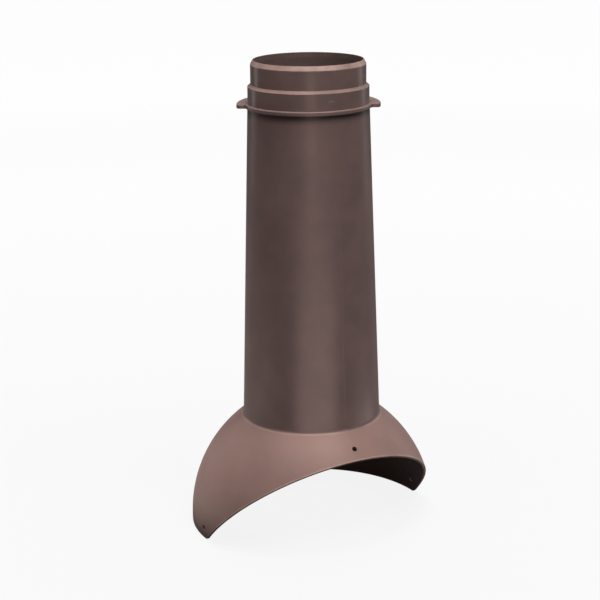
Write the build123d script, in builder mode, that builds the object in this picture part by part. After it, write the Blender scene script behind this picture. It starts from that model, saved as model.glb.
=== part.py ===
"""Roof vent pipe: one hollow moulding with a stepped spigot, a tapered tube and a domed foot.

The foot is a thin domed shell that sits over a round seat on the roof. Its back half ends in a
level rim, and its front half is cut off by a plane that rises as steeply as the steepest roof, so
the tube stays upright whatever the slope is. All lengths are in millimetres. +Z is up, the front
faces -Y, and the origin is on the tube's axis, level with the rim of the foot.
"""

import os
from math import asin, atan2, cos, pi, radians, sin, sqrt, tan

from build123d import *

# Height of the whole moulding, and its wall, which is the same all over
overall_height = 500.0
wall = 3.2

# Domed foot: one arc turned round the tube's axis. It is widest a little above the level back rim,
# and the arc's own radius is larger than the foot's, so the dome is slightly taller than a sphere.
dome_radius = 131.9
dome_arc_radius = 141.6
dome_widest_height = 6.5
front_cut_angle = 45.0
front_cut_start = 4.4
rim_corner_radius = 5.0
rim_edge_radius = 0.6

# Screw holes in the foot: one near each corner of the rim, and one above the front cut
screw_hole_diameter = 5.5
corner_hole_back = 1.5
corner_hole_height = 11.5
front_hole_height = 105.8

# Tapered tube between the foot and the collar
tube_foot_radius = 73.4
tube_top_radius = 63.0
foot_blend_radius = 3.2

# Collar under the spigot: a narrow ring that is wider round the back, as far as both sides
collar_top_drop = 44.3
collar_thickness = 4.4
collar_radius = 65.6
wide_collar_radius = 74.2
wide_collar_facing = 61.3
wide_collar_front = 11.0
wide_collar_corner_radius = 4.0
wide_collar_root_radius = 2.0
collar_edge_radius = 1.2

# Stepped spigot that the cap is pushed over
spigot_radius = 59.4
spigot_base_radius = 62.6
spigot_step_drop = 24.2
spigot_step_height = 2.8
mouth_bevel_height = 4.5
mouth_bevel_depth = 2.4
mouth_edge_radius = 0.3

# Heights and angles that follow from the values above
dome_arc_reach = dome_arc_radius - dome_radius
collar_top = overall_height - collar_top_drop
collar_bottom = collar_top - collar_thickness
step_top = overall_height - spigot_step_drop
step_bottom = step_top - spigot_step_height
step_angle = atan2(spigot_base_radius - spigot_radius, spigot_step_height)
skirt_depth = dome_radius / 8
cut_reach = 1.5 * dome_radius


def skin_points(inset):
    """Corners, as radius and height, of the surface that lies inset inside the outer skin."""
    arc_radius = dome_arc_radius - inset
    skirt_radius = sqrt(arc_radius**2 - (dome_widest_height + skirt_depth) ** 2) - dome_arc_reach
    neck_radius = tube_foot_radius - inset
    neck_height = dome_widest_height + sqrt(arc_radius**2 - (neck_radius + dome_arc_reach) ** 2)
    step_shift = inset * tan(step_angle / 2)
    return [
        (skirt_radius, -skirt_depth),
        (dome_radius - inset, dome_widest_height),
        (neck_radius, neck_height),
        (tube_top_radius - inset, collar_bottom),
        (spigot_base_radius - inset, collar_top),
        (spigot_base_radius - inset, step_bottom - step_shift),
        (spigot_radius - inset, step_top - step_shift),
    ]


# The wall in half section. Below the rim the shell runs on as a skirt, which the rim cut takes off.
outer = skin_points(0)
inner = skin_points(wall)
bevel_foot = (spigot_radius, overall_height - mouth_bevel_height)
lip_outer = (spigot_radius - mouth_bevel_depth, overall_height)
lip_inner = (spigot_radius - wall, overall_height)

with BuildSketch(Plane.XZ) as wall_section:
    with BuildLine():
        ThreePointArc(*outer[:3])
        Polyline(*outer[2:], bevel_foot, lip_outer, lip_inner, *reversed(inner[2:]))
        ThreePointArc(*reversed(inner[:3]))
        Line(inner[0], outer[0])
    make_face()
    for neck, blend_radius in ((outer[2], foot_blend_radius), (inner[2], foot_blend_radius + wall)):
        fillet(wall_section.vertices().sort_by_distance(neck)[0], blend_radius)
    for lip_edge in (lip_outer, lip_inner):
        fillet(wall_section.vertices().sort_by_distance(lip_edge)[0], mouth_edge_radius)

# The collar in plan, drawn with its own x axis towards the middle of the wide part
facing = radians(wide_collar_facing)
collar_plane = Plane((0, 0, collar_bottom), x_dir=(cos(facing), sin(facing), 0), z_dir=(0, 0, 1))

with BuildSketch(collar_plane) as collar_plan:
    Circle(wide_collar_radius)
    with Locations((-wide_collar_front, 0)):
        Rectangle(
            2 * wide_collar_radius,
            2 * wide_collar_radius,
            align=(Align.MIN, Align.CENTER),
            mode=Mode.INTERSECT,
        )
    fillet(collar_plan.vertices(), wide_collar_corner_radius)
    Circle(collar_radius)
    roots = [(-wide_collar_front, side * sqrt(collar_radius**2 - wide_collar_front**2)) for side in (1, -1)]
    fillet(
        [collar_plan.vertices().sort_by_distance(root)[0] for root in roots],
        wide_collar_root_radius,
    )

# The rim cut seen from the side: level behind the corner of the rim, rising in front of it
front_rise = (cut_reach - front_cut_start) * tan(radians(front_cut_angle))
rim_corner = (-front_cut_start, 0)

with BuildSketch(Plane.YZ) as rim_cut:
    with BuildLine():
        Polyline(
            rim_corner,
            (cut_reach, 0),
            (cut_reach, -cut_reach),
            (-cut_reach, -cut_reach),
            (-cut_reach, front_rise),
            close=True,
        )
    make_face()
    fillet(rim_cut.vertices().sort_by_distance(rim_corner)[0], rim_corner_radius)

# Screw holes, each drilled square through the dome at its turn from the front and its height
def dome_place(turn, height):
    """A place on the outside of the dome, and the direction that points straight out of it."""
    rise = (height - dome_widest_height) / dome_arc_radius
    reach = sqrt(1 - rise**2)
    radius = dome_arc_radius * reach - dome_arc_reach
    place = Vector(radius * sin(turn), -radius * cos(turn), height)
    return place, Vector(reach * sin(turn), -reach * cos(turn), rise)


corner_turn = pi / 2 + asin(corner_hole_back / dome_radius)
hole_places = [
    dome_place(-corner_turn, corner_hole_height),
    dome_place(corner_turn, corner_hole_height),
    dome_place(0, front_hole_height),
]

with BuildPart() as vent_pipe:
    extrude(collar_plan.sketch, amount=collar_thickness)
    fillet(vent_pipe.faces().filter_by(Axis.Z).edges(), collar_edge_radius)
    with Locations((0, 0, collar_top)):
        Hole(spigot_base_radius - wall / 2)
    revolve(wall_section.sketch, axis=Axis.Z)
    extrude(rim_cut.sketch, amount=cut_reach, both=True, mode=Mode.SUBTRACT)
    rim_faces = vent_pipe.faces(Select.LAST).filter_by(GeomType.REVOLUTION, reverse=True)
    fillet(rim_faces.edges().filter_by(GeomType.LINE, reverse=True), rim_edge_radius)
    for place, outwards in hole_places:
        with Locations(Plane(place, z_dir=outwards)):
            Hole(screw_hole_diameter / 2, depth=2 * wall)

vent_pipe.part.label = "vent_pipe"

os.makedirs("parts", exist_ok=True)
export_step(vent_pipe.part, "parts/vent_pipe.step")
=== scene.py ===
"""A roof vent pipe in brown plastic, standing on the rim of its domed foot in a pale studio."""

import math

import bpy
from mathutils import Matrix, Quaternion, Vector

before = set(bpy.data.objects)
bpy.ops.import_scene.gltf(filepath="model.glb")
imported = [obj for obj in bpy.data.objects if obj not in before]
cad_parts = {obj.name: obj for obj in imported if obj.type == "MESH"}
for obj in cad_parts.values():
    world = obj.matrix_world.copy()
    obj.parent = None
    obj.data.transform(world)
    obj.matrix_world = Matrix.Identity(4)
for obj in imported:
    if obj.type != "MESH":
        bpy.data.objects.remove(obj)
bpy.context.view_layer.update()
scene = bpy.context.scene
scene.view_settings.view_transform = "Standard"

# Camera
# A long lens a little above the foot, turned so that the sloping front of the foot faces right.
# The photograph leans by a fraction of a degree, so the camera is rolled to match.
camera_azimuth = math.radians(-28.70)
camera_elevation = math.radians(15.93)
camera_roll = 0.0116
camera_distance = 1.70425
aim_point = Vector((-0.009708, 0.005315, 0.2446))
focal_pixels = 1603.26
photo_pixels = 600

camera_data = bpy.data.cameras.new("camera")
camera_data.lens = focal_pixels / photo_pixels * camera_data.sensor_width
camera = bpy.data.objects.new("camera", camera_data)
scene.collection.objects.link(camera)
scene.camera = camera
away = Vector(
    (
        math.sin(camera_azimuth) * math.cos(camera_elevation),
        -math.cos(camera_azimuth) * math.cos(camera_elevation),
        math.sin(camera_elevation),
    )
)
camera.location = aim_point + away * camera_distance
camera.rotation_mode = "QUATERNION"
level = (-away).to_track_quat("-Z", "Y")
camera.rotation_quaternion = level @ Quaternion((0, 0, 1), -camera_roll)


# Moulded plastic
# Polypropylene coloured brown right through and clouded in the mould. Painted highlights lie on its
# edges and on the bar, painted shade under the collar and in the mouth, and the foot is painted
# paler for the stronger light on the dome. The halves of the mould left a witness line up the
# front, and a short raised bar marks the cap's turn.
def combine(tree, operation, *values):
    """The result of one operation on numbers or on other nodes' results."""
    node = tree.nodes.new("ShaderNodeMath")
    node.operation = operation
    for socket, value in zip(node.inputs, values):
        if isinstance(value, (int, float)):
            socket.default_value = value
        else:
            tree.links.new(value, socket)
    return node.outputs[0]


def brown_plastic():
    """The brown moulded plastic of the whole pipe."""
    dark_brown, light_brown = (0.166, 0.112, 0.105), (0.238, 0.150, 0.134)
    # The foot's paler brown is painted light, for the brighter light on the dome
    foot_brown = (0.312, 0.190, 0.163)
    # The dark brown painted as shade under the collar and inside the mouth
    painted_shade_brown = (0.045, 0.038, 0.036)
    # The pale brown painted on as highlights along the edges and the bar
    painted_highlight_brown = (0.43, 0.29, 0.25)
    gloss_tint = (1.0, 0.72, 0.64)

    # Places on the moulding, as radii and heights in metres
    mm = 0.001
    arc_reach, arc_height, arc_radius = 0.0097, 0.0065, 0.1416
    cut_start = 0.0044
    join_radius, join_height = 0.0752, 0.1195
    tube_top_radius = 0.0630
    collar_bottom, collar_top = 0.4513, 0.4557
    base_radius, bar_across, bar_height = 0.0626, -0.0083, 0.4650
    step_height, bevel_height = 0.4744, 0.4975
    bore_radius, bore_bottom = 0.0562, 0.4400

    material = bpy.data.materials.new("brown_plastic")
    material.use_nodes = True
    tree = material.node_tree
    link = tree.links.new
    shader = tree.nodes["Principled BSDF"]
    shader.inputs["Specular IOR Level"].default_value = 0.5
    shader.inputs["Specular Tint"].default_value = (*gloss_tint, 1)
    place = tree.nodes.new("ShaderNodeTexCoord")
    axes = tree.nodes.new("ShaderNodeSeparateXYZ")
    link(place.outputs["Object"], axes.inputs[0])
    across, along, height = axes.outputs

    def total(first, second):
        """Two values added together."""
        return combine(tree, "ADD", first, second)

    def product(first, second):
        """Two values multiplied, or the part that two masks share."""
        return combine(tree, "MULTIPLY", first, second)

    def hypotenuse(first, second):
        """The distance that two steps square to each other lead to."""
        squares = total(combine(tree, "POWER", first, 2), combine(tree, "POWER", second, 2))
        return combine(tree, "POWER", squares, 0.5)

    def noise(scale, detail):
        """A smooth random field in the plastic, with about scale patches to the metre."""
        node = tree.nodes.new("ShaderNodeTexNoise")
        node.inputs["Scale"].default_value = scale
        node.inputs["Detail"].default_value = detail
        link(place.outputs["Object"], node.inputs["Vector"])
        return node.outputs["Fac"]

    def ease(value, start, end, from_value=0.0, to_value=1.0):
        """A value that goes smoothly from one level to another between start and end."""
        node = tree.nodes.new("ShaderNodeMapRange")
        node.interpolation_type = "SMOOTHSTEP"
        node.inputs["From Min"].default_value = start
        node.inputs["From Max"].default_value = end
        node.inputs["To Min"].default_value = from_value
        node.inputs["To Max"].default_value = to_value
        link(value, node.inputs["Value"])
        return node.outputs["Result"]

    def near(value, middle, half_width):
        """One where the value is at the middle, fading to nothing half_width away from it."""
        away_from_middle = combine(tree, "ABSOLUTE", combine(tree, "SUBTRACT", value, middle))
        return ease(away_from_middle, 0.5 * half_width, half_width, 1, 0)

    def mix(first, second, share):
        """The first colour with a share of the second laid over it."""
        node = tree.nodes.new("ShaderNodeMixRGB")
        link(share, node.inputs["Fac"])
        for name, value in (("Color1", first), ("Color2", second)):
            if isinstance(value, tuple):
                node.inputs[name].default_value = (*value, 1)
            else:
                link(value, node.inputs[name])
        return node.outputs["Color"]

    from_axis = hypotenuse(across, along)
    in_front = combine(tree, "LESS_THAN", along, 0.0)

    # Painted highlights on the edges: the outer edge of the sloping rim, most of all, the blend
    # between tube and dome, and on the outside of the spigot its bevel and, faintly, its step
    rim_highlight, join_highlight, step_highlight = 1.6, 0.8, 0.3
    arc_rise = combine(tree, "SUBTRACT", height, arc_height)
    from_arc_centre = hypotenuse(total(from_axis, arc_reach), arc_rise)
    on_skin = ease(from_arc_centre, arc_radius - 2.0 * mm, arc_radius - 0.8 * mm)
    above_cut = product(total(total(along, height), cut_start), math.sqrt(0.5))
    rim_edge = product(ease(above_cut, 0.6 * mm, 2.4 * mm, 1, 0), on_skin)
    join_edge = product(near(from_axis, join_radius, 1.2 * mm), near(height, join_height, 3 * mm))
    step_edge = near(height, step_height, 2.2 * mm)
    spigot_edges = total(near(height, bevel_height, 3.4 * mm), product(step_edge, step_highlight))
    outside = ease(from_axis, bore_radius - 0.2 * mm, bore_radius + 0.4 * mm)
    painted_highlights = total(product(rim_edge, rim_highlight), product(join_edge, join_highlight))
    painted_highlights = total(painted_highlights, product(spigot_edges, outside))

    # The marks of the mould: the witness line and the short bar, which stand proud in the bump. The
    # bar is also painted pale along its length, as a painted highlight
    witness = product(near(across, 0.0, 0.8 * mm), in_front)
    bar = product(near(across, bar_across, 4.2 * mm), near(height, bar_height, 0.7 * mm))
    on_base = ease(from_axis, base_radius - 1.6 * mm, base_radius - 0.6 * mm)
    mark = product(bar, product(in_front, on_base))

    # The clouded brown of the tube, and below the join the paler brown of the foot, painted paler
    # to stand in for the stronger light on the up-facing dome
    large_clouds, small_clouds = noise(scale=16, detail=4), noise(scale=45, detail=3)
    clouds = total(product(large_clouds, 0.7), product(small_clouds, 0.3))

    def clouded(dark_value, light_value):
        """A value that follows the clouds."""
        return ease(clouds, 0.25, 0.75, dark_value, light_value)

    foot = ease(height, join_height - mm, join_height + mm, 1, 0)
    pipe_colour = mix(dark_brown, light_brown, clouded(0.0, 1.0))
    body_colour = mix(pipe_colour, foot_brown, product(foot, clouded(0.5, 0.9)))

    # Painted shade: darker in the corner under the collar, where its shadow falls, and on the
    # inside of the mouth
    corner_shade, mouth_shade = 0.75, 0.5
    near_collar = ease(height, collar_bottom - 9.8 * mm, collar_bottom - 1.8 * mm)
    below_collar = combine(tree, "LESS_THAN", height, collar_bottom - 0.1 * mm)
    under_collar = product(near_collar, below_collar)
    on_tube = ease(
        from_axis, tube_top_radius + 0.7 * mm, tube_top_radius + 1.5 * mm, corner_shade, 0
    )
    in_bore = ease(from_axis, bore_radius + 0.1 * mm, bore_radius + 0.6 * mm, mouth_shade, 0)
    in_mouth = product(in_bore, combine(tree, "GREATER_THAN", height, bore_bottom))
    painted_shade = combine(tree, "MAXIMUM", product(under_collar, on_tube), in_mouth)

    # The painted highlights come in patches, and never take the whole colour
    most_highlight = 0.9
    patchy = ease(noise(scale=60, detail=2), 0.2, 0.7, from_value=0.2, to_value=0.7)
    highlight_share = combine(tree, "MINIMUM", product(total(painted_highlights, mark), patchy), most_highlight)
    # The painted shade, then the painted highlights, laid over the brown of the body
    colour = mix(mix(body_colour, painted_shade_brown, painted_shade), painted_highlight_brown, highlight_share)
    link(colour, shader.inputs["Base Color"])

    # Satin all over, duller on the foot and smoother on the spigot above the collar
    dull_satin, bright_satin = 0.36, 0.30
    foot_dulls_by, spigot_shines_by = 0.1, 0.09
    spigot = ease(height, collar_top - 0.4 * mm, collar_top + 0.3 * mm)
    satin = total(clouded(dull_satin, bright_satin), product(foot, foot_dulls_by))
    roughness = combine(tree, "SUBTRACT", satin, product(spigot, spigot_shines_by))
    link(roughness, shader.inputs["Roughness"])

    # Fine grain, a fifth as high as the two marks that stand proud of it
    mark_height = 0.2 * mm
    grain = product(noise(scale=1800, detail=2), 0.2)
    bump = tree.nodes.new("ShaderNodeBump")
    bump.inputs["Strength"].default_value = 0.6
    bump.inputs["Distance"].default_value = mark_height
    link(total(grain, total(witness, mark)), bump.inputs["Height"])
    link(bump.outputs["Normal"], shader.inputs["Normal"])
    return material


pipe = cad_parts["vent_pipe"]
finish = brown_plastic()
for slot in pipe.material_slots:
    slot.material = finish

# Floor
# A sweep of pale paper, nearly white to the camera and dim in the gloss of the plastic. Its glow
# rises away from the pipe, where it gets less of the lamps' light, and it keeps the foot's shadow.
floor_size = 40.0
paper_colour = (0.05, 0.05, 0.05, 1)
near_reach, far_reach = 0.2, 3.0
near_glow, far_glow = 0.88, 0.98
glow_in_gloss = 0.1

bpy.ops.mesh.primitive_plane_add(size=floor_size)
floor = bpy.context.object
floor.name = "floor"
floor_material = bpy.data.materials.new("pale_floor")
floor_material.use_nodes = True
floor_tree = floor_material.node_tree
floor_shader = floor_tree.nodes["Principled BSDF"]
floor_shader.inputs["Base Color"].default_value = paper_colour
floor_shader.inputs["Roughness"].default_value = 1.0
floor_shader.inputs["Specular IOR Level"].default_value = 0.0
floor_shader.inputs["Emission Color"].default_value = (1, 1, 1, 1)
floor_place = floor_tree.nodes.new("ShaderNodeTexCoord")
from_pipe = floor_tree.nodes.new("ShaderNodeVectorMath")
from_pipe.operation = "LENGTH"
floor_tree.links.new(floor_place.outputs["Object"], from_pipe.inputs[0])
paper_glow = floor_tree.nodes.new("ShaderNodeMapRange")
paper_glow.inputs["From Min"].default_value = near_reach
paper_glow.inputs["From Max"].default_value = far_reach
paper_glow.inputs["To Min"].default_value = near_glow
paper_glow.inputs["To Max"].default_value = far_glow
floor_tree.links.new(from_pipe.outputs["Value"], paper_glow.inputs["Value"])
floor_rays = floor_tree.nodes.new("ShaderNodeLightPath").outputs
seen_floor = combine(
    floor_tree, "MAXIMUM", floor_rays["Is Camera Ray"], floor_rays["Is Transmission Ray"]
)
white_floor = combine(floor_tree, "MULTIPLY", seen_floor, paper_glow.outputs["Result"])
floor_glow = combine(
    floor_tree, "MULTIPLY_ADD", floor_rays["Is Glossy Ray"], glow_in_gloss, white_floor
)
floor_tree.links.new(floor_glow, floor_shader.inputs["Emission Strength"])
floor.data.materials.append(floor_material)

# Room
# The walls are white to the camera, and as dim in the gloss as the floor. They add little to the
# light on the pipe, which comes from the lamps.
light_from_walls = 0.015

world = bpy.data.worlds.new("studio")
scene.world = world
world.use_nodes = True
world_tree = world.node_tree
background = world_tree.nodes["Background"]
background.inputs["Color"].default_value = (1, 1, 1, 1)
world_rays = world_tree.nodes.new("ShaderNodeLightPath").outputs
seen_walls = combine(
    world_tree, "MAXIMUM", world_rays["Is Camera Ray"], world_rays["Is Transmission Ray"]
)
dim_walls = combine(
    world_tree, "MULTIPLY_ADD", world_rays["Is Glossy Ray"], glow_in_gloss, light_from_walls
)
wall_glow = combine(world_tree, "MAXIMUM", seen_walls, dim_walls)
world_tree.links.new(wall_glow, background.inputs["Strength"])


# Studio lamps
# Soft boxes over and behind the pipe light its dome and bevels, and two strips edge the tube. The
# tube mirrors a strip in front and lit cards on the floor as the soft band down its middle.
pipe_middle = Vector((0, 0, 0.25))
above_floor = 0.002


def from_camera_side(across, towards, height):
    """A point given as seen from the camera: across to its right, towards it, and up."""
    right = Vector((math.cos(camera_azimuth), math.sin(camera_azimuth), 0))
    front = Vector((math.sin(camera_azimuth), -math.cos(camera_azimuth), 0))
    return right * across + front * towards + Vector((0, 0, height))


def around_pipe(degrees, distance, height):
    """A point round the pipe, counted from the camera's side towards its right."""
    turn = math.radians(degrees)
    return from_camera_side(math.sin(turn) * distance, math.cos(turn) * distance, height)


def soft_box(name, place, size, watts, matt=True, gloss=True):
    """A soft light, unseen by the camera, that faces the pipe for its matt light, gloss or both."""
    data = bpy.data.lights.new(name, "AREA")
    data.shape = "RECTANGLE"
    data.size, data.size_y = size
    data.energy = watts
    lamp = bpy.data.objects.new(name, data)
    scene.collection.objects.link(lamp)
    lamp.location = place
    lamp.rotation_mode = "QUATERNION"
    lamp.rotation_quaternion = (pipe_middle - place).to_track_quat("-Z", "Y")
    lamp.visible_camera = False
    lamp.visible_diffuse = matt
    lamp.visible_glossy = gloss
    return lamp


def floor_card(name, across, towards, size, watts, matt=True, gloss=True):
    """A lit card that lies on the floor and faces up, with its sides square to the camera's."""
    place = from_camera_side(across, towards, above_floor)
    card = soft_box(name, place, size, watts, matt, gloss)
    card.rotation_mode = "XYZ"
    card.rotation_euler = (math.pi, 0, camera_azimuth)


# Over the pipe
soft_box("overhead_front", from_camera_side(0, 0.9, 2.0), (1.0, 1.0), watts=8)
soft_box("overhead_right", from_camera_side(0.7, 0.7, 2.0), (0.8, 0.8), watts=14.5)
soft_box("overhead_left", from_camera_side(-0.7, 0.7, 2.0), (0.8, 0.8), watts=5.5)
soft_box("overhead_fill", from_camera_side(0, 0, 2.2), (0.7, 0.7), watts=31, gloss=False)
soft_box("right_fill", from_camera_side(0.7, 0.7, 2.0), (0.8, 0.8), watts=6, gloss=False)

# Round it
soft_box("back_right_strip", around_pipe(125, 2.0, 0.6), (0.5, 1.2), watts=1.35)
soft_box("back_left_strip", around_pipe(-125, 2.0, 0.6), (0.4, 1.2), watts=1.2)
soft_box("back_right_fill", around_pipe(158, 1.9, 1.1), (0.9, 0.9), watts=9, gloss=False)
soft_box("back_left_fill", around_pipe(-158, 1.9, 1.1), (0.9, 0.9), watts=9, gloss=False)
soft_box("front_strip", around_pipe(4, 2.2, 0.7), (0.7, 1.4), watts=3.6, matt=False)

# On the floor
floor_card("near_card", 0.09, 0.5, (0.58, 0.25), watts=1.5, matt=False)
floor_card("far_card", 0.22, 0.9, (1.1, 0.5), watts=4.2, matt=False)
floor_card("right_card", 0.33, 0, (0.3, 0.3), watts=0.35)
floor_card("left_card", -0.32, 0, (0.3, 0.3), watts=0.8, gloss=False)
